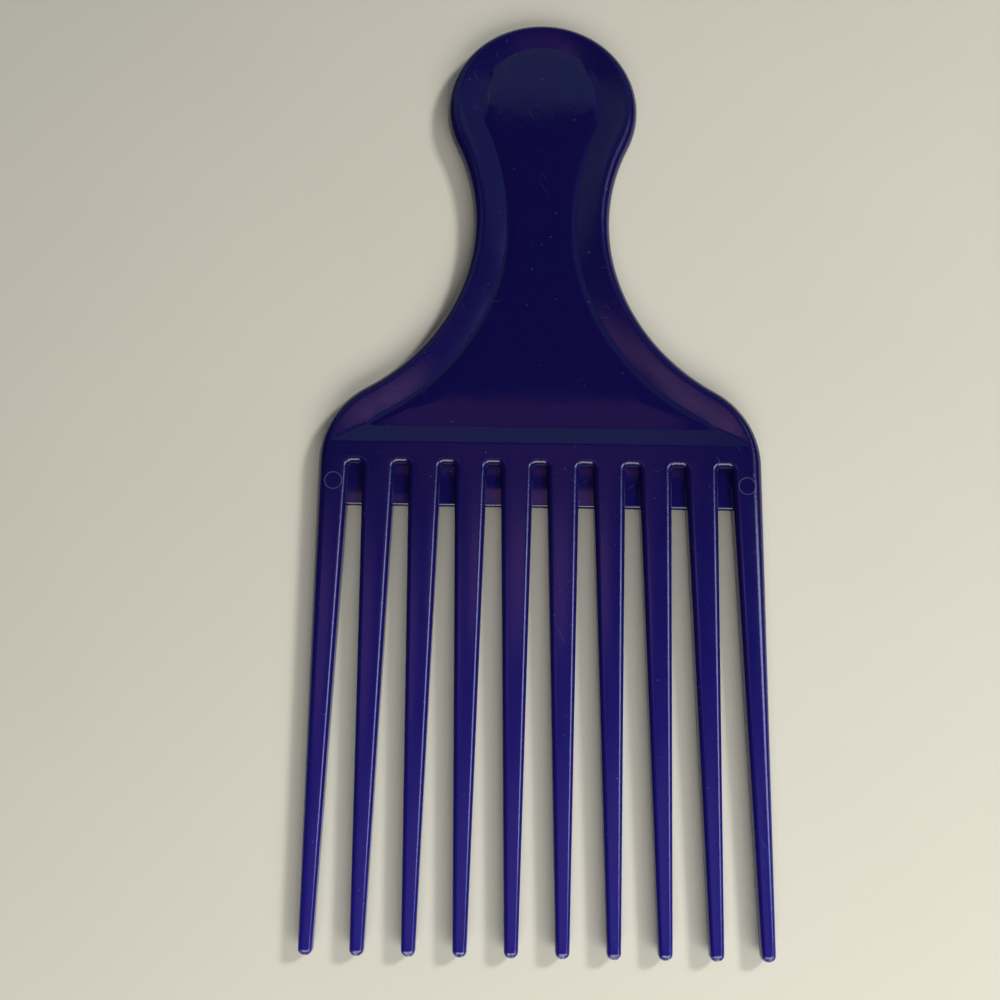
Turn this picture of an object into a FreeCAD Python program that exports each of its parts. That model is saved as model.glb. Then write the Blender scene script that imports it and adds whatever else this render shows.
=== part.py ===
import FreeCAD, Part
import math
import os

# A one-piece moulded lift comb (afro pick), lying flat on its back face.
# The origin is under the middle of the comb's box; +Y runs to the head of the handle,
# +X across the teeth and +Z up through the thickness.  Millimetres.

# Whole comb
overall_length = 177.4
shoulder_width = 81.9
body_thickness = 4.6
rim_edge_radius = 2.2

# Handle outline: a round head, a drawn-in waist and a flare to the shoulders
head_diameter = 37.9
waist_width = 26.5
waist_below_head = 25.2
flare_radius = 38.65
shoulder_radius = 16.15

# Raised rim round the sunk panel, measured from the outline to the panel's foot line
rim_width_head = 6.6
rim_width_top = 5.2
rim_width_waist = 6.5
rim_width_flare = 5.35
rim_width_shoulder = 6.1
cove_width = 4.6
panel_recess = 1.1

# Spine between the panel and the teeth
spine_band = 4.0
ramp_length = 3.3
root_below_shoulder = 0.9
slot_bevel = 1.0

# Teeth, which spread a little towards their tips
tooth_count = 10
outer_tooth_inset = 2.77
root_slot_width = 2.5
tooth_tip_pitch = 8.6
tooth_tip_width = 2.4
tooth_tip_thickness = 2.7
tooth_edge_radius = 1.0
tooth_tip_edge_radius = 0.75
tooth_tip_round = 1.2
# Dome of the tip: how far along it, and how much of the edge radius is drawn in there
tip_dome_shares = ((0.0, 0.0), (0.5, 0.13), (0.8, 0.4), (1.0, 0.8))

# Webs that close the top of each slot
web_length = 7.7
web_thickness = 1.3

# Round ejector marks on the front of the two outer teeth
ejector_diameter = 2.4
ejector_depth = 0.15
ejector_below_root = 3.5

# Cutters run past the faces that they cut by this much
overrun = 0.5

# Derived places
half_length = overall_length / 2
half_width = shoulder_width / 2
half_thickness = body_thickness / 2
head_radius = head_diameter / 2
head_y = half_length - head_radius
waist_y = head_y - waist_below_head
panel_head_radius = head_radius - rim_width_head
panel_head_y = half_length - rim_width_top - panel_head_radius
tooth_pitch = (shoulder_width - 2 * outer_tooth_inset) / (tooth_count - 1)
tooth_root_width = tooth_pitch - root_slot_width
tip_y = -half_length


def vec(x, y, z=0.0):
    return FreeCAD.Vector(x, y, z)


class HandleCurve:
    """Right half of a handle outline, as arcs that run smoothly into one another.

    A head circle, a neck arc, a flare arc and a shoulder arc; the neck and the flare
    meet at the waist, where the outline runs straight along Y.
    """

    def __init__(self, head_y, head_radius, waist_half, flare_radius, side_x, shoulder_radius):
        self.head = (0.0, head_y, head_radius)
        rise = head_y - waist_y
        neck_radius = (rise**2 + waist_half**2 - head_radius**2) / (2 * (head_radius - waist_half))
        self.neck = (waist_half + neck_radius, waist_y, neck_radius)
        self.flare = (waist_half + flare_radius, waist_y, flare_radius)
        shoulder_x = side_x - shoulder_radius
        reach = flare_radius + shoulder_radius
        across = self.flare[0] - shoulder_x
        self.shoulder_y = waist_y - math.sqrt(reach**2 - across**2)
        self.shoulder = (shoulder_x, self.shoulder_y, shoulder_radius)
        self.waist_half = waist_half
        self.side_x = side_x

    def grown(self, offset):
        """The same curve, moved outwards by an offset."""
        return HandleCurve(
            self.head[1],
            self.head[2] + offset,
            self.waist_half + offset,
            self.flare[2] - offset,
            self.side_x + offset,
            self.shoulder[2] + offset,
        )

    def touch(self, arc, other):
        """Point where two outside-touching arcs meet."""
        share = arc[2] / (arc[2] + other[2])
        return (arc[0] + (other[0] - arc[0]) * share, arc[1] + (other[1] - arc[1]) * share)

    def middle(self, arc, start, end, z):
        """Point of an arc half way between two of its points."""
        chord = vec((start[0] + end[0]) / 2 - arc[0], (start[1] + end[1]) / 2 - arc[1])
        chord.normalize()
        return vec(arc[0], arc[1], z) + chord * arc[2]

    def edges(self, z):
        """Edges from the right side, up over the head, to the left side."""
        side = (self.side_x, self.shoulder_y)
        shoulder_end = self.touch(self.shoulder, self.flare)
        waist = (self.waist_half, waist_y)
        neck_end = self.touch(self.head, self.neck)
        spans = [
            (self.shoulder, side, shoulder_end),
            (self.flare, shoulder_end, waist),
            (self.neck, waist, neck_end),
        ]
        right = []
        left = []
        for arc, start, end in spans:
            middle = self.middle(arc, start, end, z)
            right.append(Part.Arc(vec(*start, z), middle, vec(*end, z)).toShape())
            mirrored = vec(-middle.x, middle.y, z)
            left.append(Part.Arc(vec(-end[0], end[1], z), mirrored, vec(-start[0], start[1], z)).toShape())
        crown = vec(0.0, self.head[1] + self.head[2], z)
        head = Part.Arc(vec(*neck_end, z), crown, vec(-neck_end[0], neck_end[1], z)).toShape()
        return right + [head] + left[::-1]

    def wire(self, z, drop=0.0):
        """Closed outline: the curve, straight sides down by a drop, and a level bottom."""
        low_y = self.shoulder_y - drop
        corners = [vec(-self.side_x, self.shoulder_y, z)]
        if drop > 0:
            corners.append(vec(-self.side_x, low_y, z))
            corners.append(vec(self.side_x, low_y, z))
        corners.append(vec(self.side_x, self.shoulder_y, z))
        bottom = [Part.makeLine(a, b) for a, b in zip(corners, corners[1:])]
        return Part.Wire(self.edges(z) + bottom)


outline = HandleCurve(
    head_y,
    head_radius,
    waist_width / 2,
    flare_radius,
    half_width,
    shoulder_radius,
)
panel_curve = HandleCurve(
    panel_head_y,
    panel_head_radius,
    waist_width / 2 - rim_width_waist,
    flare_radius + rim_width_flare,
    half_width - rim_width_shoulder,
    shoulder_radius - rim_width_shoulder,
)

# The teeth start a little below the place where the sides start to run straight
root_y = outline.shoulder_y - root_below_shoulder
ramp_top_y = root_y + spine_band
ramp_foot_y = ramp_top_y + ramp_length
pocket_drop = spine_band + ramp_length


def prism(face, height):
    return face.extrude(vec(0.0, 0.0, height))


def slab(low_y, high_y):
    """Block across the whole comb between two places along Y."""
    width = shoulder_width + 2 * overrun
    corner = vec(-width / 2, low_y, -overrun)
    return Part.makeBox(width, high_y - low_y, body_thickness + 2 * overrun, corner)


def pocket():
    """Sunk field of the front face: sloping cove all round and a ramp up to the spine."""
    floor_z = body_thickness - panel_recess
    cove_slope = cove_width / panel_recess
    brim = panel_curve.grown(cove_width + cove_slope * overrun)
    floor = panel_curve.wire(floor_z, pocket_drop)
    mouth = brim.wire(body_thickness + overrun, pocket_drop)
    field = Part.makeLoft([floor, mouth], True, True)
    ramp_slope = ramp_length / panel_recess
    side = half_width + overrun
    profile = [
        vec(-side, ramp_foot_y, floor_z),
        vec(-side, half_length, floor_z),
        vec(-side, half_length, body_thickness + overrun),
        vec(-side, ramp_top_y - ramp_slope * overrun, body_thickness + overrun),
    ]
    face = Part.Face(Part.makePolygon(profile + profile[:1]))
    return field.common(face.extrude(vec(2 * side, 0.0, 0.0)))


def level_edges(body):
    """Edges round the two faces of the handle, apart from the straight ones at the teeth."""
    edges = []
    for edge in body.Edges:
        middle = edge.CenterOfMass
        on_face = abs(middle.z - half_thickness) > half_thickness / 2
        if on_face and middle.y > root_y + root_below_shoulder / 4:
            edges.append(edge)
    return edges


def handle_body():
    """Handle and spine in one: rounded outline with a sunk field on both faces."""
    body = prism(Part.Face(outline.wire(0.0, root_below_shoulder)), body_thickness)
    body = body.makeFillet(rim_edge_radius, level_edges(body))
    front = pocket()
    back = front.mirror(vec(0.0, 0.0, half_thickness), vec(0.0, 0.0, 1.0))
    return body.cut(front).cut(back)


def tooth_sides(index):
    """X of a tooth's two sides at the root and at the tip."""
    place = index - (tooth_count - 1) / 2
    centre = place * tooth_pitch
    left = max(centre - tooth_root_width / 2, -half_width)
    right = min(centre + tooth_root_width / 2, half_width)
    tip_centre = place * tooth_tip_pitch
    return left, right, tip_centre - tooth_tip_width / 2, tip_centre + tooth_tip_width / 2


def rounded_section(y, left, right, half_height, left_radius, right_radius):
    """Upright rounded rectangle across the comb, centred on mid-thickness."""
    low = half_thickness - half_height
    high = half_thickness + half_height
    corners = [
        (left, low, left_radius, 180),
        (right, low, right_radius, 270),
        (right, high, right_radius, 0),
        (left, high, left_radius, 90),
    ]
    arcs = []
    for x, z, radius, start in corners:
        centre = vec(
            x + math.copysign(radius, (left + right) / 2 - x),
            y,
            z + math.copysign(radius, half_thickness - z),
        )
        points = []
        for turn in (0, 45, 90):
            angle = math.radians(start + turn)
            points.append(centre + vec(radius * math.cos(angle), 0.0, radius * math.sin(angle)))
        arcs.append((points, Part.Arc(*points).toShape()))
    edges = []
    for (points, arc), (following, _) in zip(arcs, arcs[1:] + arcs[:1]):
        edges.append(arc)
        edges.append(Part.makeLine(points[2], following[0]))
    return Part.Wire(edges)


def tooth(index):
    """Tapering tooth with rounded edges and a domed tip."""
    left, right, tip_left, tip_right = tooth_sides(index)
    left_radius = rim_edge_radius if index == 0 else tooth_edge_radius
    right_radius = rim_edge_radius if index == tooth_count - 1 else tooth_edge_radius
    sections = [rounded_section(root_y, left, right, half_thickness, left_radius, right_radius)]
    dome_y = tip_y + tooth_tip_round
    middle = (tip_left + tip_right) / 2
    for along, drawn_in in tip_dome_shares:
        inset = tooth_tip_edge_radius * drawn_in
        half = tooth_tip_width / 2 - inset
        height = tooth_tip_thickness / 2 - inset
        radius = tooth_tip_edge_radius - inset
        y = dome_y - tooth_tip_round * along
        sections.append(rounded_section(y, middle - half, middle + half, height, radius, radius))
    shape = Part.makeLoft(sections, True, True)
    if index in (0, tooth_count - 1):
        shape = shape.cut(ejector_mark(index))
    return shape


def ejector_mark(index):
    """Shallow round sinking in the middle of an outer tooth's front face."""
    left, right, _, _ = tooth_sides(index)
    along = ejector_below_root / (root_y - tip_y)
    flat_left = left + (rim_edge_radius if index == 0 else tooth_edge_radius)
    flat_right = right - (tooth_edge_radius if index == 0 else rim_edge_radius)
    x = (flat_left + flat_right) / 2
    drop = (half_thickness - tooth_tip_thickness / 2) * along
    floor_z = body_thickness - drop - ejector_depth
    base = vec(x, root_y - ejector_below_root, floor_z)
    return Part.makeCylinder(ejector_diameter / 2, overrun, base)


def side_at(root_x, tip_x, y):
    """X of a tooth's straight side at a place along its length."""
    straight = root_y - (tip_y + tooth_tip_round)
    return root_x + (tip_x - root_x) * (root_y - y) / straight


def web(index):
    """Thin plate in the top of the slot after a tooth, flush with the teeth beside it."""
    _, left, _, left_tip = tooth_sides(index)
    right, _, right_tip, _ = tooth_sides(index + 1)
    low_y = root_y - web_length
    z = half_thickness - web_thickness / 2
    corners = [
        vec(left, root_y, z),
        vec(right, root_y, z),
        vec(side_at(right, right_tip, low_y), low_y, z),
        vec(side_at(left, left_tip, low_y), low_y, z),
    ]
    return prism(Part.Face(Part.makePolygon(corners + corners[:1])), web_thickness)


def slot_bevels():
    """Wedges that take the sharp edge off the spine at the top of each slot, on both faces."""
    wedges = []
    for index in range(tooth_count - 1):
        left = tooth_sides(index)[1]
        width = tooth_sides(index + 1)[0] - left
        for z, inward in ((body_thickness, -1), (0.0, 1)):
            corners = [
                vec(left, root_y, z),
                vec(left, root_y + slot_bevel, z),
                vec(left, root_y, z + inward * slot_bevel),
            ]
            face = Part.Face(Part.makePolygon(corners + corners[:1]))
            wedges.append(face.extrude(vec(width, 0.0, 0.0)))
    return wedges


def save(name, shape):
    shape = shape.removeSplitter()
    solids = shape.Solids
    if len(solids) != 1 or not shape.isValid():
        raise ValueError(f"{name}: {len(solids)} solids, valid {shape.isValid()}")
    solids[0].exportStep(f"parts/{name}.step")
    box = shape.BoundBox
    print(name, round(shape.Volume, 1), [round(v, 2) for v in (box.XMin, box.YMin, box.ZMin)],
          [round(v, 2) for v in (box.XMax, box.YMax, box.ZMax)])


def main():
    os.makedirs("parts", exist_ok=True)
    body = handle_body()
    upper = body.common(slab(ramp_foot_y, half_length + overrun))
    panel_prism = prism(Part.Face(panel_curve.wire(-overrun, pocket_drop)), body_thickness + 2 * overrun)
    save("handle_panel", upper.common(panel_prism))
    save("handle_rim", upper.cut(panel_prism))
    spine = body.common(slab(root_y - overrun, ramp_foot_y))
    for wedge in slot_bevels():
        spine = spine.cut(wedge)
    save("spine", spine)
    for index in range(tooth_count):
        save(f"tooth_{index + 1:02d}", tooth(index))
    for index in range(tooth_count - 1):
        save(f"root_web_{index + 1}", web(index))


main()
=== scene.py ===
import math

import bmesh
import bpy
from mathutils import Matrix, Vector


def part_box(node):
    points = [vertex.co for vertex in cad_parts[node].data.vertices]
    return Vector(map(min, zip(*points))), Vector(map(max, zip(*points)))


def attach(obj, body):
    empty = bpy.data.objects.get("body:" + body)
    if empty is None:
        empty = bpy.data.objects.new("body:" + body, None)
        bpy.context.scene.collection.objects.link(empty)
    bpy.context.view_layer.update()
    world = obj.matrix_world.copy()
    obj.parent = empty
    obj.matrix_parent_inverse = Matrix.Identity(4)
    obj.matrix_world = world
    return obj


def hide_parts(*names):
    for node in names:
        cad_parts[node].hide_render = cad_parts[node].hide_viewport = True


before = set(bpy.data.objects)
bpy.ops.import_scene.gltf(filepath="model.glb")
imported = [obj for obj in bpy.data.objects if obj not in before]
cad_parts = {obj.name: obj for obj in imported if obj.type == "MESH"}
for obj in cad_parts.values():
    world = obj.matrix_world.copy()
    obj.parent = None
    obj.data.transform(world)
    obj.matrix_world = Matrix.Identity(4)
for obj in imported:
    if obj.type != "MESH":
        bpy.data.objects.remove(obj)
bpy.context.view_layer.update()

# A glossy indigo lift comb, moulded in one shot and lying flat on a pale floor.
# Shapes are worked out in millimetres, in the frame's axes, and written to the meshes in metres.

MM = 0.001


def node_box(node):
    low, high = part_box(node)
    return [c / MM for c in low], [c / MM for c in high]


# Sizes read from the frame
spine_low, spine_high = node_box("spine")
second_low, second_high = node_box("tooth_02")
third_low, _ = node_box("tooth_03")
web_low, web_high = node_box("root_web_1")

half_width = spine_high[0]
half_length = -second_low[1]
thickness = spine_high[2]
middle_z = thickness / 2
root_y = spine_low[1]
ramp_foot_y = spine_high[1]
tooth_pitch = third_low[0] - second_low[0]
tooth_root_width = second_high[0] - second_low[0]
web_length = web_high[1] - web_low[1]
web_thickness = web_high[2] - web_low[2]

# Handle outline and the foot line of the sunk panel
head_radius = 18.95
waist_half = 13.25
waist_below_head = 25.2
flare_radius = 38.65
shoulder_radius = 16.15
rim_width_head = 6.6
rim_width_top = 5.2
rim_width_waist = 6.5
rim_width_flare = 5.35
rim_width_shoulder = 6.1
head_y = half_length - head_radius
waist_y = head_y - waist_below_head

# Profile of the rim: full round outer edge, soft crest and a long slope that steepens to a crisp foot
rim_edge_radius = 2.2
slope_width = 4.4
slope_depth = 1.13
slope_at_crest = 0.20
slope_at_foot = 2 * slope_depth / slope_width - slope_at_crest
crest_blend = 0.1
crest_reach = 2.7
crease = 0.05

# The panel has a bevelled border and falls softly towards the foot of the ramp
border_width = 2.1
border_drop = 0.28
border_roundness = 1.4
ramp_length = 3.3
ramp_roll_length = 5.0
ramp_roll_drop = 0.12
slope_foot_z = thickness - slope_depth
panel_z = slope_foot_z + border_drop
ramp_foot_z = panel_z - ramp_roll_drop

# Teeth, which spread a little towards their tips
tooth_count = 10
tooth_tip_pitch = 8.6
tooth_tip_width = 2.4
tooth_tip_thickness = 2.7
tooth_edge_radius = 1.2
tooth_tip_edge_radius = 0.75
tooth_tip_round = 1.2
dome_y = -half_length + tooth_tip_round

# Roots of the teeth: the spine ends in short stubs, and a narrow strip joins them to the handle's rows
slot_corner_radius = 0.6
stub_length = 1.3
strip_margin = 0.2
corner_y = root_y - slot_corner_radius
stub_y = root_y - stub_length
strip_top_y = root_y + tooth_edge_radius + strip_margin
rows_end_y = strip_top_y + strip_margin

# Ejector marks on the two outer teeth
ejector_radius = 1.55
ejector_depth = 0.04
ejector_below_root = 3.5
ejector_from_side = 3.15
ejector_x = half_width - ejector_from_side
ejector_y = root_y - ejector_below_root

# Colours, as red, green and blue
DEEP_INDIGO = (0.0030, 0.0024, 0.054)
VIOLET_INDIGO = (0.0052, 0.0026, 0.060)
# Painted light: the glow of light through the thin plastic of the teeth, lighter towards their tips
TIP_GLOW_INDIGO = (0.012, 0.009, 0.20)
SCRATCH_GREY = (0.20, 0.20, 0.30)
DUST_GREY = (0.42, 0.42, 0.48)
CHALK_GREY = (0.50, 0.49, 0.60)
RING_GREY = (0.30, 0.30, 0.42)
BOARD_DARK = (0.62, 0.605, 0.515)
BOARD_LIGHT = (0.67, 0.655, 0.56)
BACKDROP_PALE = (0.60, 0.59, 0.50)
ROOM_BLUE = (0.9, 0.95, 1.0)

# Marks on the plastic, in millimetres apart from the number of dust cells
streak_height = 1.1
dust_cells_per_metre = 1100.0
chalk_full = 0.2
chalk_end = 1.1
ring_full = 0.02
ring_end = 0.10
grain_depth = 0.3

# Mesh density
EDGE_STEPS = 10
ROUND_ROWS_TURN = math.radians(65)
CREST_STEPS = 10
SLOPE_STEPS = 8
FOOT_COLUMN = EDGE_STEPS + CREST_STEPS + SLOPE_STEPS + 1
BORDER_STEPS = 8
border_rows_end = border_width + 3 * crease
SHOULDER_ROWS = 90
FLARE_ROWS = 48
NECK_ROWS = 32
HEAD_ROWS = 56
PANEL_COLUMNS = 12
STUB_ROWS = 3
CORNER_STEPS = 8
FLANK_ROWS = CORNER_STEPS // 2
MARK_SIDES = 64
SHARP_ANGLE = math.radians(35)

# Points this near count as one: decimal places, and distances in millimetres
POINT_DIGITS = 4
touching = 0.001
seam_gap = 0.002


# Node graphs
class Wire:
    """A socket of a node graph; arithmetic on it adds Math nodes."""

    def __init__(self, graph, socket):
        self.graph = graph
        self.socket = socket

    def math(self, operation, *others):
        values = dict(enumerate((self,) + others))
        return self.graph.node("ShaderNodeMath", {"operation": operation}, values)

    def __add__(self, other):
        return self.math("ADD", other)

    def __sub__(self, other):
        return self.math("SUBTRACT", other)

    def __rsub__(self, other):
        return self.graph.node("ShaderNodeMath", {"operation": "SUBTRACT"}, {0: other, 1: self})

    def __mul__(self, other):
        return self.math("MULTIPLY", other)

    def __truediv__(self, other):
        return self.math("DIVIDE", other)

    __radd__ = __add__
    __rmul__ = __mul__


class Graph:
    """Adds nodes to a tree: a type, its settings, then the values or wires of its sockets."""

    def __init__(self, tree):
        self.tree = tree

    def node(self, kind, settings=None, values=None, output=0):
        made = self.tree.nodes.new(kind)
        for name, value in (settings or {}).items():
            setattr(made, name, value)
        for key, value in (values or {}).items():
            self.put(made.inputs[key], value)
        return Wire(self, made.outputs[output])

    def put(self, socket, value):
        if isinstance(value, Wire):
            self.tree.links.new(value.socket, socket)
        else:
            socket.default_value = value

    def mix(self, factor, first, second):
        """Mix of two colours."""
        return self.node(
            "ShaderNodeMix", {"data_type": "RGBA"}, {0: factor, 6: first, 7: second}, output=2
        )


# Materials
def colour(tone, shade=1.0):
    return (*(part * shade for part in tone), 1.0)


def new_material(name):
    material = bpy.data.materials.new(name)
    material.use_nodes = True
    shader = material.node_tree.nodes["Principled BSDF"]
    return material, Graph(material.node_tree), shader


def indigo_plastic(name, shade, least_roughness, grain):
    """Moulded plastic: colour drift, a painted glow of light through the thin teeth that grows towards their
    tips, scratches, dust, chalky tips and ejector rings.
    """
    material, graph, shader = new_material(name)
    place = graph.node("ShaderNodeTexCoord", output="Object")

    def along_axis(axis):
        return graph.node("ShaderNodeSeparateXYZ", {}, {0: place}, axis)

    def noise(scale, detail=2.0, vector=place):
        return graph.node(
            "ShaderNodeTexNoise", {}, {"Vector": vector, "Scale": scale, "Detail": detail}
        )

    def dust_cells(output):
        """Small cells: the distance from each one's middle, or its own random colour."""
        sizes = {"Vector": place, "Scale": dust_cells_per_metre}
        return graph.node("ShaderNodeTexVoronoi", {"feature": "F1"}, sizes, output)

    def ramp(value, low, high):
        """Rises from 0 to 1 between two values."""
        return graph.node("ShaderNodeMapRange", {"clamp": True}, {0: value, 1: low, 2: high})

    def streaks(turn, width, length, low, high):
        """Long thin marks in one direction, from noise that is drawn out."""
        size = (width * MM, length * MM, streak_height * MM)
        drawn = graph.node(
            "ShaderNodeMapping",
            {"vector_type": "TEXTURE"},
            {"Vector": place, "Rotation": (0.0, 0.0, turn), "Scale": size},
        )
        return ramp(noise(1.0, 3.0, drawn), low, high)

    scratches = streaks(turn=0.5, width=0.3, length=7.0, low=0.68, high=0.76)
    cross_scratches = streaks(turn=-0.9, width=0.35, length=5.0, low=0.69, high=0.77)
    level_scratches = streaks(turn=1.5, width=0.3, length=4.0, low=0.69, high=0.77)
    crossed = scratches.math("MAXIMUM", cross_scratches).math("MAXIMUM", level_scratches)
    lines = crossed * ramp(noise(90.0), low=0.45, high=0.65)

    cell_value = graph.node("ShaderNodeSeparateColor", {}, {0: dust_cells("Color")})
    specks = 1.0 - ramp(dust_cells("Distance"), low=0.03, high=0.12)
    dust = specks * ramp(cell_value, low=0.955, high=0.96)

    along = along_axis("Y")
    tip_end = -half_length * MM
    # Painted light: the teeth are painted lighter and bluer towards their tips, as a glow of light through
    # thin plastic
    thin = 1.0 - ramp(along, low=tip_end, high=root_y * MM)
    chalk_zone = 1.0 - ramp(along, low=tip_end + chalk_full * MM, high=tip_end + chalk_end * MM)
    chalk = chalk_zone * ramp(noise(1900.0, 4.0), low=0.46, high=0.62)

    mark_x = along_axis("X").math("ABSOLUTE") - ejector_x * MM
    mark_y = along - ejector_y * MM
    from_mark = (mark_x * mark_x + mark_y * mark_y).math("SQRT")
    from_ring = (from_mark - ejector_radius * MM).math("ABSOLUTE")
    ring = 1.0 - ramp(from_ring, low=ring_full * MM, high=ring_end * MM)

    tint = graph.mix(noise(55.0, 3.0), colour(DEEP_INDIGO, shade), colour(VIOLET_INDIGO, shade))
    # The first mix paints light, the glow through the thin tips; the others are marks the plastic really has
    for mask, strength, tone in (
        (thin, 0.8, TIP_GLOW_INDIGO),
        (lines, 0.07, SCRATCH_GREY),
        (dust, 0.45, DUST_GREY),
        (chalk, 0.62, CHALK_GREY),
        (ring, 0.25, RING_GREY),
    ):
        tint = graph.mix(mask * strength, tint, colour(tone))
    graph.put(shader.inputs["Base Color"], tint)

    handling = ramp(noise(140.0, 4.0), low=0.35, high=0.75)
    roughness = least_roughness + handling * 0.05 + lines * 0.25 + dust * 0.4 + chalk * 0.4
    graph.put(shader.inputs["Roughness"], roughness)
    height = noise(420.0) * 0.6 + noise(2800.0) * grain - lines * 0.25 + chalk * 0.5
    bump = graph.node(
        "ShaderNodeBump", {}, {"Height": height, "Strength": 0.03, "Distance": grain_depth * MM}
    )
    graph.put(shader.inputs["Normal"], bump)
    shader.inputs["IOR"].default_value = 1.5
    return material


def pale_board():
    """Plain pale floor with a faint unevenness."""
    material, graph, shader = new_material("pale_board")
    place = graph.node("ShaderNodeTexCoord", output="Object")
    cloud = graph.node("ShaderNodeTexNoise", {}, {"Vector": place, "Scale": 14.0, "Detail": 3.0})
    shade = graph.mix(cloud, colour(BOARD_DARK), colour(BOARD_LIGHT))
    graph.put(shader.inputs["Base Color"], shade)
    shader.inputs["Roughness"].default_value = 0.75
    return material


# Curves of the handle
class HandleCurve:
    """Right half of a handle outline from the side up to the crown: four arcs, tangent in turn."""

    def __init__(self, head_y, head_r, waist_x, flare_r, side_x, shoulder_r):
        rise = head_y - waist_y
        neck_r = (rise**2 + waist_x**2 - head_r**2) / (2 * (head_r - waist_x))
        neck_x = waist_x + neck_r
        flare_x = waist_x + flare_r
        shoulder_x = side_x - shoulder_r
        drop = math.sqrt((flare_r + shoulder_r) ** 2 - (flare_x - shoulder_x) ** 2)
        self.shoulder_y = waist_y - drop
        self.shoulder_x = shoulder_x
        self.shoulder_r = shoulder_r
        self.swing = math.atan2(drop, flare_x - shoulder_x)
        lean = math.atan2(rise, -neck_x)
        self.arcs = {
            "flare": (flare_x, waist_y, flare_r, math.pi + self.swing, math.pi, -1),
            "neck": (neck_x, waist_y, neck_r, math.pi, lean, -1),
            "head": (0.0, head_y, head_r, lean - math.pi, math.pi / 2, 1),
        }

    def at(self, arc, share, outward):
        """Point on an arc, moved outwards."""
        x, y, radius, start, end, side = self.arcs[arc]
        angle = start + (end - start) * share
        reach = radius + side * outward
        return x + reach * math.cos(angle), y + reach * math.sin(angle)

    def on_shoulder(self, share, outward, low_y):
        """Point on the shoulder arc, on rows that turn level towards low_y."""
        radius = self.shoulder_r + outward
        high_y = self.shoulder_y + radius * math.sin(self.swing)
        y = high_y + (low_y - high_y) * share
        return self.shoulder_x + math.sqrt(radius**2 - (y - self.shoulder_y) ** 2), y


panel_head_radius = head_radius - rim_width_head
outline = HandleCurve(head_y, head_radius, waist_half, flare_radius, half_width, shoulder_radius)
foot_line = HandleCurve(
    half_length - rim_width_top - panel_head_radius,
    panel_head_radius,
    waist_half - rim_width_waist,
    flare_radius + rim_width_flare,
    half_width - rim_width_shoulder,
    shoulder_radius - rim_width_shoulder,
)


def soft_lower(first, second, reach):
    """The lower of two heights, rounded off where they cross."""
    near = max(0.0, reach - abs(first - second))
    return min(first, second) - near**2 / (4 * reach)


def panel_height(outward, y):
    """Height of the panel, level apart from its bevelled border and its fall towards the ramp."""
    border = min(1.0, max(0.0, 1 + outward / border_width))
    near_ramp = min(1.0, max(0.0, 1 - (y - ramp_foot_y) / ramp_roll_length))
    return panel_z - max(border_drop * border**border_roundness, ramp_roll_drop * near_ramp**2)


def field_height(inset, outward, y):
    """Height of the front face, at distances inside the outline and outside the panel's foot line."""
    bend = (slope_at_foot - slope_at_crest) / (2 * slope_width)
    on_slope = min(outward, slope_at_foot / (2 * bend))
    slope = slope_foot_z + slope_at_foot * on_slope - bend * on_slope**2
    ramp = ramp_foot_z + (thickness - ramp_foot_z) * (ramp_foot_y - y) / ramp_length
    field = max(panel_height(outward, y), slope, ramp)
    on_round = max(0.0, rim_edge_radius - inset)
    edge = thickness - rim_edge_radius + math.sqrt(rim_edge_radius**2 - on_round**2)
    return soft_lower(edge, field, crest_blend)


def edge_steps(radius):
    """Inset and drop of each step of a rounded edge, from the wall to the top."""
    for step in range(EDGE_STEPS + 1):
        angle = math.pi / 2 * step / EDGE_STEPS
        yield radius * (1 - math.cos(angle)), radius * (1 - math.sin(angle))


def round_pairs(ring):
    """Each item of a closed ring with the one after it."""
    return zip(ring, ring[1:] + ring[:1])


class FrontFace:
    """The front face of the moulding as one surface; each of its faces belongs to a piece."""

    def __init__(self):
        self.points = []
        self.known = {}
        self.faces = []

    def vertex(self, point):
        key = (round(point[0], POINT_DIGITS), round(point[1], POINT_DIGITS))
        if key not in self.known:
            self.known[key] = len(self.points)
            self.points.append(Vector(point))
        return self.known[key]

    def face(self, corners, piece):
        ring = []
        for corner in corners:
            index = self.vertex(corner)
            if index not in ring:
                ring.append(index)
        if len(ring) < 3:
            return
        spots = [self.points[k] for k in ring]
        turn = sum(a.x * b.y - b.x * a.y for a, b in round_pairs(spots))
        self.faces.append((ring if turn > 0 else ring[::-1], piece))

    def grid(self, rows, piece_of):
        for lower, upper in zip(rows, rows[1:]):
            for k in range(len(lower) - 1):
                corners = [lower[k], lower[k + 1], upper[k + 1], upper[k]]
                self.face(corners, piece_of(k, sum(c[1] for c in corners) / 4))

    def stitch(self, lower, upper, piece):
        """Triangles between two rows whose points don't pair up."""
        a, b = 0, 0
        while a < len(lower) - 1 or b < len(upper) - 1:
            step_lower = b == len(upper) - 1 or (
                a < len(lower) - 1 and lower[a + 1][0] <= upper[b + 1][0]
            )
            if step_lower:
                self.face([lower[a], lower[a + 1], upper[b]], piece)
                a += 1
            else:
                self.face([lower[a], upper[b + 1], upper[b]], piece)
                b += 1


def even_steps(start, end, count):
    """Places from start up to, but not at, the end."""
    return [start + (end - start) * k / count for k in range(count)]


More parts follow.
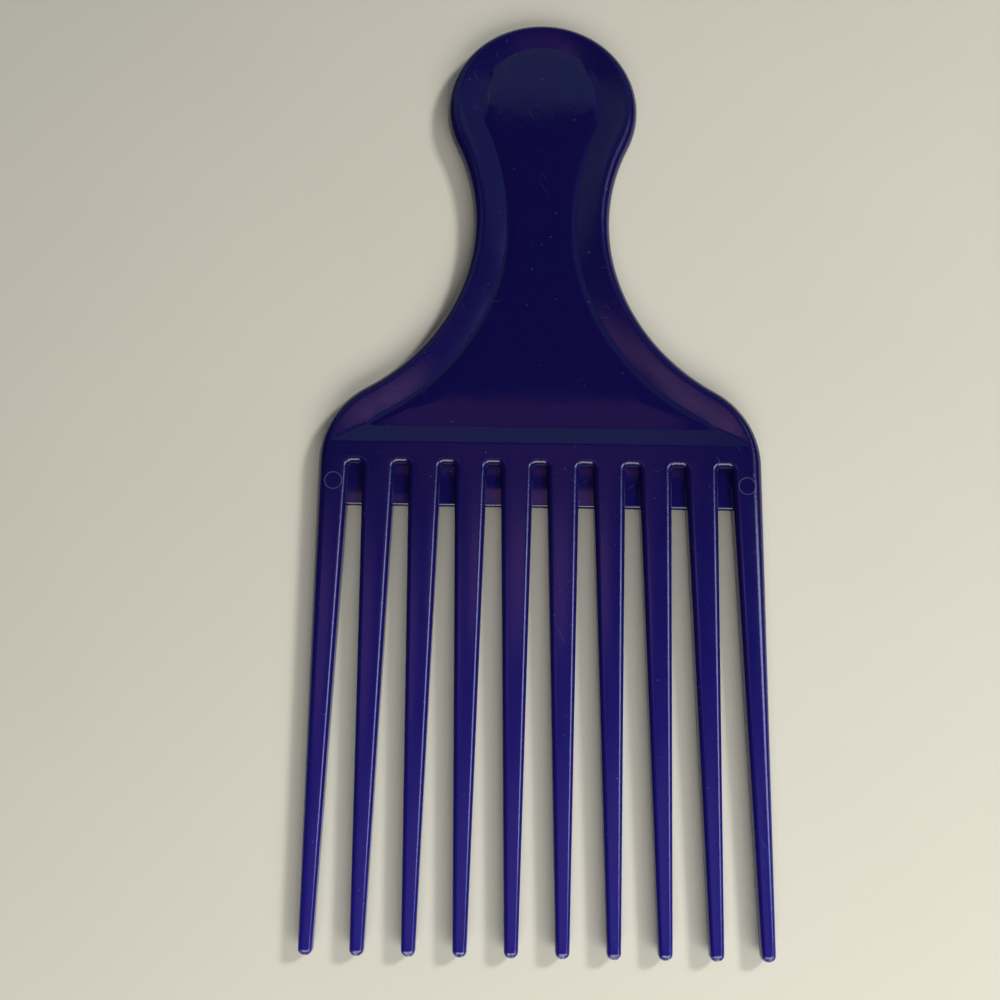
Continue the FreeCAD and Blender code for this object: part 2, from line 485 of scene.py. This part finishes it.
def rim_row(outer_at, inner_at):
    """One row across the rim, from the outer wall over the foot line to the flat of the panel."""
    outer = outer_at(0.0)
    foot = inner_at(0.0)
    room = math.dist(outer, foot)
    turns = even_steps(0.0, ROUND_ROWS_TURN, EDGE_STEPS)
    insets = [rim_edge_radius * (1 - math.cos(turn)) for turn in turns]
    round_end = rim_edge_radius * (1 - math.cos(ROUND_ROWS_TURN))
    insets += even_steps(round_end, crest_reach, CREST_STEPS)
    insets += even_steps(crest_reach, room - crease, SLOPE_STEPS)
    insets += [room - crease, room]
    row = []
    for inset in insets:
        share = inset / room
        x = outer[0] + (foot[0] - outer[0]) * share
        y = outer[1] + (foot[1] - outer[1]) * share
        row.append((x, y, field_height(inset, room - inset, y)))
    for depth in even_steps(crease, border_rows_end, BORDER_STEPS):
        x, y = inner_at(-depth)
        row.append((x, y, field_height(room + depth, -depth, y)))
    return row


def shoulder_row(share):
    """Row across the rim on the shoulder arc; at a share of 1 it lies level above the teeth."""
    return rim_row(
        lambda out: outline.on_shoulder(share, out, rows_end_y),
        lambda out: foot_line.on_shoulder(share, out, rows_end_y),
    )


def arc_row(arc, share):
    """Row across the rim on one of the arcs above the shoulder."""
    return rim_row(
        lambda out: outline.at(arc, share, out),
        lambda out: foot_line.at(arc, share, out),
    )


def handle_rows():
    """Rows of the right half, from the teeth up to the crown."""
    rows = [shoulder_row(k / SHOULDER_ROWS) for k in range(SHOULDER_ROWS, 0, -1)]
    for arc, count in (("flare", FLARE_ROWS), ("neck", NECK_ROWS), ("head", HEAD_ROWS)):
        rows += [arc_row(arc, k / count) for k in range(count)]
    rows.append(arc_row("head", 1.0))
    return rows


def mirrored(row):
    return [(-x, y, z) for x, y, z in row]


def tooth_sides(index):
    """X of a tooth's sides at the root, and of its middle line at the root and at the tip."""
    place = index - (tooth_count - 1) / 2
    centre = place * tooth_pitch
    left = max(centre - tooth_root_width / 2, -half_width)
    right = min(centre + tooth_root_width / 2, half_width)
    return left, right, centre, place * tooth_tip_pitch


def side_x(root_x, tip_x, y):
    """X of a tooth's side below the root line; above it the side runs straight on."""
    share = max(0.0, (root_y - y) / (root_y - dome_y))
    return root_x + (tip_x - root_x) * share


def stub_ys():
    """Y of the rows along the stub of a tooth, up to the start of the slot's rounded corner."""
    return [stub_y + (corner_y - stub_y) * k / STUB_ROWS for k in range(STUB_ROWS + 1)]


def slot_cell(face, index):
    """Round the slot after a tooth: its rounded edge, and the flat out to the teeth's middle lines."""
    _, left, left_centre, left_tip = tooth_sides(index)
    right, _, right_centre, right_tip = tooth_sides(index + 1)
    half_tip = tooth_tip_width / 2

    def half_path(root_x, tip_x, centre, sense):
        """Edge points with their outward direction and the point of the cell's border facing them."""
        path = []
        for y in stub_ys():
            path.append(((side_x(root_x, tip_x, y), y), (sense, 0.0), (centre, y)))
        corner_x = side_x(root_x, tip_x, corner_y) - sense * slot_corner_radius
        for k in range(1, CORNER_STEPS + 1):
            angle = math.pi / 2 * k / CORNER_STEPS
            way = (sense * math.cos(angle), math.sin(angle))
            spot = (corner_x + slot_corner_radius * way[0], corner_y + slot_corner_radius * way[1])
            if k <= FLANK_ROWS:
                border = (centre, corner_y + (strip_top_y - corner_y) * k / FLANK_ROWS)
            else:
                border = (centre + (corner_x - centre) * (k - FLANK_ROWS) / FLANK_ROWS, strip_top_y)
            path.append((spot, way, border))
        return path

    path = half_path(left, left_tip + half_tip, left_centre, -1)
    path += half_path(right, right_tip - half_tip, right_centre, 1)[::-1]
    rows = []
    for spot, way, border in path:
        row = []
        for inset, drop in edge_steps(tooth_edge_radius):
            row.append((spot[0] + way[0] * inset, spot[1] + way[1] * inset, thickness - drop))
        row.append((*border, thickness))
        rows.append(row)
    face.grid(rows, lambda column, y: "spine")
    return [row[-1] for row in rows if abs(row[-1][1] - strip_top_y) < touching]


def outer_flank(face, sense):
    """Outer half of an outer tooth's root, with the rounded edge that runs on from the shoulder."""
    _, right, centre, tip = tooth_sides(tooth_count - 1)
    ys = stub_ys()
    ys += [corner_y + (strip_top_y - corner_y) * k / FLANK_ROWS for k in range(1, FLANK_ROWS + 1)]
    rows = []
    for y in ys:
        if y > root_y:
            above = max(0.0, y - outline.shoulder_y)
            edge_x = outline.shoulder_x + math.sqrt(shoulder_radius**2 - above**2)
        else:
            edge_x = side_x(right, tip + tooth_tip_width / 2, y)
        row = [(sense * (edge_x - inset), y, thickness - drop) for inset, drop in edge_steps(rim_edge_radius)]
        row.append((sense * centre, y, thickness))
        rows.append(row)
    face.grid(rows, lambda column, y: "spine")
    return rows[-1]


def moulding_front():
    """Front face of the handle and the spine, down to the roots of the teeth."""
    face = FrontFace()
    right_rows = handle_rows()
    left_rows = [mirrored(row) for row in right_rows]

    def rim_side(column, y):
        if y < ramp_foot_y:
            return "spine"
        return "handle_rim" if column < FOOT_COLUMN else "handle_panel"

    def panel_side(column, y):
        return "handle_panel" if y > ramp_foot_y else "spine"

    face.grid(right_rows, rim_side)
    face.grid(left_rows, rim_side)
    inner_rows = []
    for left, right in zip(left_rows, right_rows):
        (x0, y, z), (x1, _, _) = left[-1], right[-1]
        inner_rows.append(
            [(x0 + (x1 - x0) * k / PANEL_COLUMNS, y, z) for k in range(PANEL_COLUMNS + 1)]
        )
    face.grid(inner_rows, panel_side)
    strip_top = outer_flank(face, -1)
    for index in range(tooth_count - 1):
        strip_top += slot_cell(face, index)
    strip_top += outer_flank(face, 1)[::-1]
    upper = left_rows[0][:-1] + inner_rows[0] + right_rows[0][-2::-1]
    lower = sorted(set(strip_top))
    face.stitch(lower, sorted(set(upper)), "spine")
    return face


def wall_normal(face, a, b):
    """Outward direction of the upright wall below an edge of the front face."""
    run = face.points[b] - face.points[a]
    return Vector((run.y, -run.x, 0.0)).normalized()


def front_normals(face, walls):
    """Smooth normals of the front face's points, with the walls below its free edges counted in."""
    total = [Vector() for _ in face.points]
    for ring, _ in face.faces:
        spots = [face.points[k] for k in ring]
        normal = Vector()
        for a, b in round_pairs(spots):
            normal += a.cross(b)
        normal.normalize()
        for k, index in enumerate(ring):
            before = (spots[k - 1] - spots[k]).normalized()
            after = (spots[(k + 1) % len(spots)] - spots[k]).normalized()
            total[index] += normal * before.angle(after, 0.0)
    for a, b in walls:
        outward = wall_normal(face, a, b)
        total[a] += outward * (math.pi / 2)
        total[b] += outward * (math.pi / 2)
    return [normal.normalized() for normal in total]


def flip(vector):
    """A direction of the front face, for the same place on the back."""
    return Vector((vector.x, vector.y, -vector.z))


def split_moulding(face, finishes):
    """Closed pieces of the moulding; their shading runs on across the cuts between them."""
    sides = {}
    for ring, piece in face.faces:
        for a, b in round_pairs(ring):
            sides[a, b] = piece
    free = [edge for edge in sides if edge[::-1] not in sides]
    cut_y = stub_y + touching
    walls = {e for e in free if max(face.points[e[0]].y, face.points[e[1]].y) > cut_y}
    normals = front_normals(face, walls)
    made = {}
    for piece in sorted({name for _, name in face.faces}):
        used = {}
        points, faces, shading = [], [], []

        def corner(index, back):
            if (index, back) not in used:
                used[index, back] = len(points)
                spot = face.points[index]
                z = thickness - spot.z if back else spot.z
                points.append((spot.x * MM, spot.y * MM, z * MM))
            return used[index, back]

        def add(corners, flat=None):
            faces.append([corner(index, back) for index, back in corners])
            for index, back in corners:
                normal = flat or (flip(normals[index]) if back else normals[index])
                shading.append(normal)

        for ring, name in face.faces:
            if name != piece:
                continue
            add([(k, False) for k in ring])
            add([(k, True) for k in ring[::-1]])
            for a, b in round_pairs(ring):
                if sides.get((b, a)) == piece:
                    continue
                wall = [(b, False), (a, False), (a, True), (b, True)]
                if (a, b) in walls:
                    add(wall)
                else:
                    add(wall, wall_normal(face, a, b))
        mesh = bpy.data.meshes.new(piece)
        mesh.from_pydata(points, [], faces)
        mesh.polygons.foreach_set("use_smooth", [True] * len(mesh.polygons))
        mesh.normals_split_custom_set(shading)
        mesh.materials.append(finishes[piece])
        made[piece] = mesh
    return made


# Geometry Nodes for what repeats
def new_rule(name, inputs):
    """Geometry tree with named size inputs in metres; returns it, its graph and the inputs as wires."""
    tree = bpy.data.node_groups.new(name, "GeometryNodeTree")
    tree.interface.new_socket("Geometry", in_out="INPUT", socket_type="NodeSocketGeometry")
    for label in inputs:
        tree.interface.new_socket(label, in_out="INPUT", socket_type="NodeSocketFloat")
    tree.interface.new_socket("Material", in_out="INPUT", socket_type="NodeSocketMaterial")
    tree.interface.new_socket("Geometry", in_out="OUTPUT", socket_type="NodeSocketGeometry")
    graph = Graph(tree)
    entry = tree.nodes.new("NodeGroupInput")
    wires = {socket.name: Wire(graph, socket) for socket in entry.outputs if socket.name}
    return tree, graph, wires


def close_rule(graph, wires, columns, rows, x, y, z):
    """Bends a grid to the given place of each point, joins its seams and hands it out."""
    grid = graph.node("GeometryNodeMeshGrid", {}, {"Vertices X": columns, "Vertices Y": rows})
    place = graph.node("ShaderNodeCombineXYZ", {}, {0: x, 1: y, 2: z})
    bent = graph.node("GeometryNodeSetPosition", {}, {"Geometry": grid, "Position": place})
    joined = graph.node("GeometryNodeMergeByDistance", {}, {"Geometry": bent, "Distance": seam_gap * MM})
    smooth = graph.node("GeometryNodeSetShadeSmooth", {}, {"Geometry": joined, "Shade Smooth": True})
    real = graph.node("GeometryNodeRealizeInstances", {}, {"Geometry": smooth})
    dressed = graph.node("GeometryNodeSetMaterial", {}, {"Geometry": real, "Material": wires["Material"]})
    leave = graph.tree.nodes.new("NodeGroupOutput")
    graph.put(leave.inputs[0], dressed)


def grid_place(graph, rows):
    """Column and row of each grid point."""
    index = graph.node("GeometryNodeInputIndex")
    column = (index / rows).math("FLOOR")
    return column, index - column * rows


def blend(first, second, share):
    return first + (second - first) * share


TOOTH_SIZES = (
    "Root Left",
    "Root Right",
    "Tip Middle",
    "Tip Width",
    "Root Thickness",
    "Tip Thickness",
    "Left Edge Radius",
    "Right Edge Radius",
    "Tip Edge Radius",
    "Root Y",
    "Start Y",
    "Dome Y",
    "Tip Round",
)


def tooth_rule():
    """Rounded bar that tapers from root to tip and ends in a dome."""
    corner_points, body_steps, dome_steps = 9, 40, 12
    columns = 4 * corner_points + 1
    rows = body_steps + dome_steps + 1
    tree, graph, size = new_rule("tooth rule", TOOTH_SIZES)
    column, row = grid_place(graph, rows)
    corner = (column / corner_points).math("FLOOR")
    step = (column - corner * corner_points) / (corner_points - 1)
    quarter = math.pi / 2
    turn = (corner + step) * quarter
    diagonal = (corner + 0.5) * quarter
    side = diagonal.math("COSINE").math("SIGN")
    level = diagonal.math("SINE").math("SIGN")
    body = (row / body_steps).math("MINIMUM", 1.0)
    dome = ((row - body_steps) / dome_steps).math("MAXIMUM", 0.0) * quarter
    body_y = blend(size["Start Y"], size["Dome Y"], body)
    share = (size["Root Y"] - body_y) / (size["Root Y"] - size["Dome Y"])
    half = blend((size["Root Right"] - size["Root Left"]) * 0.5, size["Tip Width"] * 0.5, share)
    middle = blend((size["Root Right"] + size["Root Left"]) * 0.5, size["Tip Middle"], share)
    half_height = blend(size["Root Thickness"], size["Tip Thickness"], share) * 0.5
    mean_radius = (size["Left Edge Radius"] + size["Right Edge Radius"]) * 0.5
    spread = (size["Right Edge Radius"] - size["Left Edge Radius"]) * 0.5
    radius = blend(mean_radius + side * spread, size["Tip Edge Radius"], share)
    shrink = dome.math("COSINE")
    x = middle + shrink * (side * (half - radius) + radius * turn.math("COSINE"))
    y = body_y - size["Tip Round"] * dome.math("SINE")
    z = size["Root Thickness"] * 0.5 + shrink * (level * (half_height - radius) + radius * turn.math("SINE"))
    close_rule(graph, size, columns, rows, x, y, z)
    return tree


WEB_SIZES = (
    "Root Left",
    "Root Right",
    "Tip Left",
    "Tip Right",
    "Root Y",
    "Dome Y",
    "Length",
    "Thickness",
    "Middle Z",
)


def web_rule():
    """Thin plate between two tooth sides, with a rounded lower edge."""
    arc_steps, across = 12, 3
    # One column at the root in front, the arc, one at the root behind and one back at the first
    columns = 1 + (arc_steps + 1) + 2
    tree, graph, size = new_rule("web rule", WEB_SIZES)
    column, row = grid_place(graph, across)
    along = ((column - 1) / arc_steps).math("MAXIMUM", 0.0).math("MINIMUM", 1.0)
    turn = math.pi / 2 - along * math.pi
    past_arc = column.math("GREATER_THAN", arc_steps + 1.5)
    before_arc = 1.0 - column.math("GREATER_THAN", 0.5)
    back_at_start = column.math("GREATER_THAN", arc_steps + 2.5)
    at_root = past_arc.math("MAXIMUM", before_arc)
    half = size["Thickness"] * 0.5
    low_y = size["Root Y"] - size["Length"]
    arc_y = low_y + half - half * turn.math("COSINE")
    y = blend(arc_y, size["Root Y"], at_root)
    z = size["Middle Z"] + half * blend(turn.math("SINE"), 1.0, back_at_start)
    share = (size["Root Y"] - y) / (size["Root Y"] - size["Dome Y"])
    left = blend(size["Root Left"], size["Tip Left"], share)
    right = blend(size["Root Right"], size["Tip Right"], share)
    x = blend(left, right, row / (across - 1))
    close_rule(graph, size, columns, across, x, y, z)
    return tree


def add_piece(name, mesh):
    piece = bpy.data.objects.new(name, mesh)
    bpy.context.scene.collection.objects.link(piece)
    return piece


def applied_mesh(maker):
    """Plain mesh of an object with its modifiers applied; the object itself is removed."""
    depsgraph = bpy.context.evaluated_depsgraph_get()
    made = bpy.data.meshes.new_from_object(maker.evaluated_get(depsgraph))
    bpy.data.objects.remove(maker)
    return made


def shape_by_rule(name, tree, sizes, material):
    """Plain closed mesh from a rule and its sizes in millimetres."""
    maker = add_piece(name + "_maker", bpy.data.meshes.new(name + "_seed"))
    modifier = maker.modifiers.new("rule", "NODES")
    modifier.node_group = tree
    for item in tree.interface.items_tree:
        if item.in_out == "INPUT" and item.name in sizes:
            modifier[item.identifier] = sizes[item.name] * MM
        if item.in_out == "INPUT" and item.name == "Material":
            modifier[item.identifier] = material
    made = applied_mesh(maker)
    close_ends(made)
    made.set_sharp_from_angle(angle=SHARP_ANGLE)
    made.name = name
    return made


def close_ends(mesh):
    """Caps the open ends of a mesh with flat faces."""
    work = bmesh.new()
    work.from_mesh(mesh)
    rims = [edge for edge in work.edges if edge.is_boundary]
    caps = bmesh.ops.holes_fill(work, edges=rims, sides=0)["faces"]
    bmesh.ops.recalc_face_normals(work, faces=work.faces)
    for cap in caps:
        cap.smooth = False
        for edge in cap.edges:
            edge.smooth = False
    work.to_mesh(mesh)
    work.free()


def sink_mark(mesh, x, y, z, material):
    """Shallow round ejector mark in a tooth's front face."""
    work = bmesh.new()
    placed = Matrix.Translation((x * MM, y * MM, (z + ejector_radius - ejector_depth) * MM))
    bmesh.ops.create_cone(
        work,
        cap_ends=True,
        segments=MARK_SIDES,
        radius1=ejector_radius * MM,
        radius2=ejector_radius * MM,
        depth=2 * ejector_radius * MM,
        matrix=placed,
    )
    cutter_mesh = bpy.data.meshes.new("mark_cutter")
    work.to_mesh(cutter_mesh)
    work.free()
    cutter = add_piece("mark_cutter", cutter_mesh)
    body = add_piece("mark_body", mesh)
    cut = body.modifiers.new("mark", "BOOLEAN")
    cut.operation = "DIFFERENCE"
    cut.solver = "EXACT"
    cut.object = cutter
    made = applied_mesh(body)
    bpy.data.objects.remove(cutter)
    made.set_sharp_from_angle(angle=SHARP_ANGLE)
    made.materials.clear()
    made.materials.append(material)
    made.polygons.foreach_set("material_index", [0] * len(made.polygons))
    return made


def make_teeth(material):
    rule = tooth_rule()
    meshes = {}
    for index in range(tooth_count):
        left, right, _, tip = tooth_sides(index)
        name = f"tooth_{index + 1:02d}"
        first, last = index == 0, index == tooth_count - 1
        sizes = {
            "Root Left": left,
            "Root Right": right,
            "Tip Middle": tip,
            "Tip Width": tooth_tip_width,
            "Root Thickness": thickness,
            "Tip Thickness": tooth_tip_thickness,
            "Left Edge Radius": rim_edge_radius if first else tooth_edge_radius,
            "Right Edge Radius": rim_edge_radius if last else tooth_edge_radius,
            "Tip Edge Radius": tooth_tip_edge_radius,
            "Root Y": root_y,
            "Start Y": stub_y,
            "Dome Y": dome_y,
            "Tip Round": tooth_tip_round,
        }
        mesh = shape_by_rule(name, rule, sizes, material)
        if first or last:
            share = ejector_below_root / (root_y - dome_y)
            z = thickness - (thickness - tooth_tip_thickness) / 2 * share
            mesh = sink_mark(mesh, math.copysign(ejector_x, tip), ejector_y, z, material)
            mesh.name = name
        meshes[name] = mesh
    return meshes


def make_webs(material):
    rule = web_rule()
    meshes = {}
    half_tip = tooth_tip_width / 2
    for index in range(tooth_count - 1):
        _, left, _, left_tip = tooth_sides(index)
        right, _, _, right_tip = tooth_sides(index + 1)
        name = f"root_web_{index + 1}"
        sizes = {
            "Root Left": left,
            "Root Right": right,
            "Tip Left": left_tip + half_tip,
            "Tip Right": right_tip - half_tip,
            "Root Y": root_y,
            "Dome Y": dome_y,
            "Length": web_length,
            "Thickness": web_thickness,
            "Middle Z": middle_z,
        }
        meshes[name] = shape_by_rule(name, rule, sizes, material)
    return meshes


def make_comb():
    # One plastic in two copies: apart from their real difference in roughness, the gloss copy is painted a
    # little darker than the satin one, as painted shade
    satin = indigo_plastic("indigo_satin_plastic", shade=1.02, least_roughness=0.15, grain=2.4)
    gloss = indigo_plastic("indigo_gloss_plastic", shade=0.95, least_roughness=0.05, grain=0.05)
    finishes = {"handle_panel": gloss, "handle_rim": satin, "spine": satin}
    meshes = split_moulding(moulding_front(), finishes)
    meshes.update(make_teeth(satin))
    # The webs take the darker gloss copy as painted shade of their recess between the teeth
    meshes.update(make_webs(gloss))
    for node, mesh in meshes.items():
        piece = add_piece(node + "_shape", mesh)
        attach(piece, "root")
        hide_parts(node)


# Floor, light and camera
def make_floor():
    radius = 0.42
    sides = 96
    turns = [math.tau * side / sides for side in range(sides)]
    ring = [(radius * math.cos(turn), radius * math.sin(turn), 0.0) for turn in turns]
    mesh = bpy.data.meshes.new("floor")
    mesh.from_pydata(ring, [], [range(sides)])
    mesh.materials.append(pale_board())
    add_piece("floor", mesh)


def soft_lamp(name, way, distance, width, height, level, tint, aim=(0.0, 0.0, 0.0)):
    """Soft box that stands in a direction from the place it aims at; level is how bright its face is."""
    lamp = bpy.data.lights.new(name, "AREA")
    lamp.shape = "RECTANGLE"
    lamp.size = width
    lamp.size_y = height
    lamp.energy = level * math.pi * width * height
    lamp.color = tint
    place = Vector(way).normalized() * distance
    stand = bpy.data.objects.new(name, lamp)
    stand.location = place + Vector(aim)
    stand.rotation_euler = (-place).to_track_quat("-Z", "Y").to_euler()
    bpy.context.scene.collection.objects.link(stand)
    return stand


def make_room():
    """World that lights the comb dimly; only where the camera sees it, it is a pale backdrop."""
    world = bpy.data.worlds.new("studio")
    world.use_nodes = True
    graph = Graph(world.node_tree)
    seen = graph.node("ShaderNodeLightPath", output="Is Camera Ray")
    dim_room = graph.node("ShaderNodeBackground", {}, {"Color": colour(ROOM_BLUE), "Strength": 0.03})
    backdrop = graph.node("ShaderNodeBackground", {}, {"Color": colour(BACKDROP_PALE), "Strength": 1.0})
    room = graph.node("ShaderNodeMixShader", {}, {0: seen, 1: dim_room, 2: backdrop})
    graph.put(world.node_tree.nodes["World Output"].inputs["Surface"], room)
    bpy.context.scene.world = world


def make_light():
    above = (0.0, 0.0, 1.0)
    key_way = (0.66, 0.36, 0.66)
    # The key isn't seen in reflections, where it would be too bright: a wider, weaker lamp is seen there
    key = soft_lamp(
        "key", key_way, distance=0.9, width=0.15, height=0.15, level=61.0, tint=(1.0, 0.98, 0.93)
    )
    key.visible_glossy = False
    soft_lamp(
        "key_glint", key_way, distance=0.9, width=0.24, height=0.24, level=2.5, tint=(0.7, 0.7, 1.0)
    )
    soft_lamp(
        "front", (0.22, -0.75, 0.62), distance=0.50, width=0.60, height=0.25, level=5.3, tint=(1.0, 1.0, 0.96)
    )
    # The card at the right is seen only in reflections
    side_card = soft_lamp(
        "side_card", (0.669, -0.06, 0.743), distance=0.9, width=0.40, height=0.34, level=8.0,
        tint=(0.70, 0.74, 1.0),
    )
    side_card.visible_diffuse = False
    soft_lamp(
        "warm_left", (-0.31, 0.05, 0.95), distance=3.0, width=0.56, height=1.2, level=0.55,
        tint=(1.0, 0.5, 0.65),
    )
    soft_lamp(
        "lavender_front", (0.03, -0.20, 0.98), distance=3.0, width=1.5, height=0.6, level=0.4,
        tint=(1.0, 0.65, 0.9),
    )
    soft_lamp(
        "rose_top", above, distance=0.52, width=0.21, height=0.075, level=0.24,
        tint=(1.0, 0.4, 0.7), aim=(0.015, 0.140, 0.0),
    )
    soft_lamp(
        "near_rose", above, distance=0.18, width=0.045, height=0.045, level=0.6,
        tint=(1.0, 0.48, 0.66), aim=(0.006, -0.005, 0.0),
    )
    sky_tilt = math.radians(55.4)
    for name, turn, level in (
        ("sky_left", -38.0, 0.20),
        ("sky_middle", 0.0, 0.27),
        ("sky_right", 38.0, 0.14),
    ):
        bearing = math.radians(turn)
        across = math.sin(sky_tilt)
        way = (across * math.sin(bearing), across * math.cos(bearing), math.cos(sky_tilt))
        soft_lamp(
            name, way, distance=2.0, width=0.95, height=1.6, level=level,
            tint=(0.63, 0.87, 1.0), aim=(0.0, 0.075, 0.0),
        )


def make_camera():
    """The photograph's view, from above the teeth and tilted a little towards the handle."""
    tilt = math.radians(12.3)
    turn = 0.015
    place = Vector((-6.69, -49.47, 182.1)) * MM
    ahead = Vector((-math.sin(turn) * math.sin(tilt), math.cos(turn) * math.sin(tilt), -math.cos(tilt)))
    right = Vector((math.cos(turn), math.sin(turn), 0.0))
    back = -ahead
    up = back.cross(right)
    lens = bpy.data.cameras.new("camera")
    lens.sensor_width = 36.0
    lens.lens = 36.0
    lens.clip_start = 0.01
    camera = bpy.data.objects.new("camera", lens)
    camera.matrix_world = Matrix.Translation(place) @ Matrix((right, up, back)).transposed().to_4x4()
    bpy.context.scene.collection.objects.link(camera)
    bpy.context.scene.camera = camera


make_comb()
make_floor()
make_room()
make_light()
make_camera()
bpy.context.scene.view_settings.view_transform = "Standard"
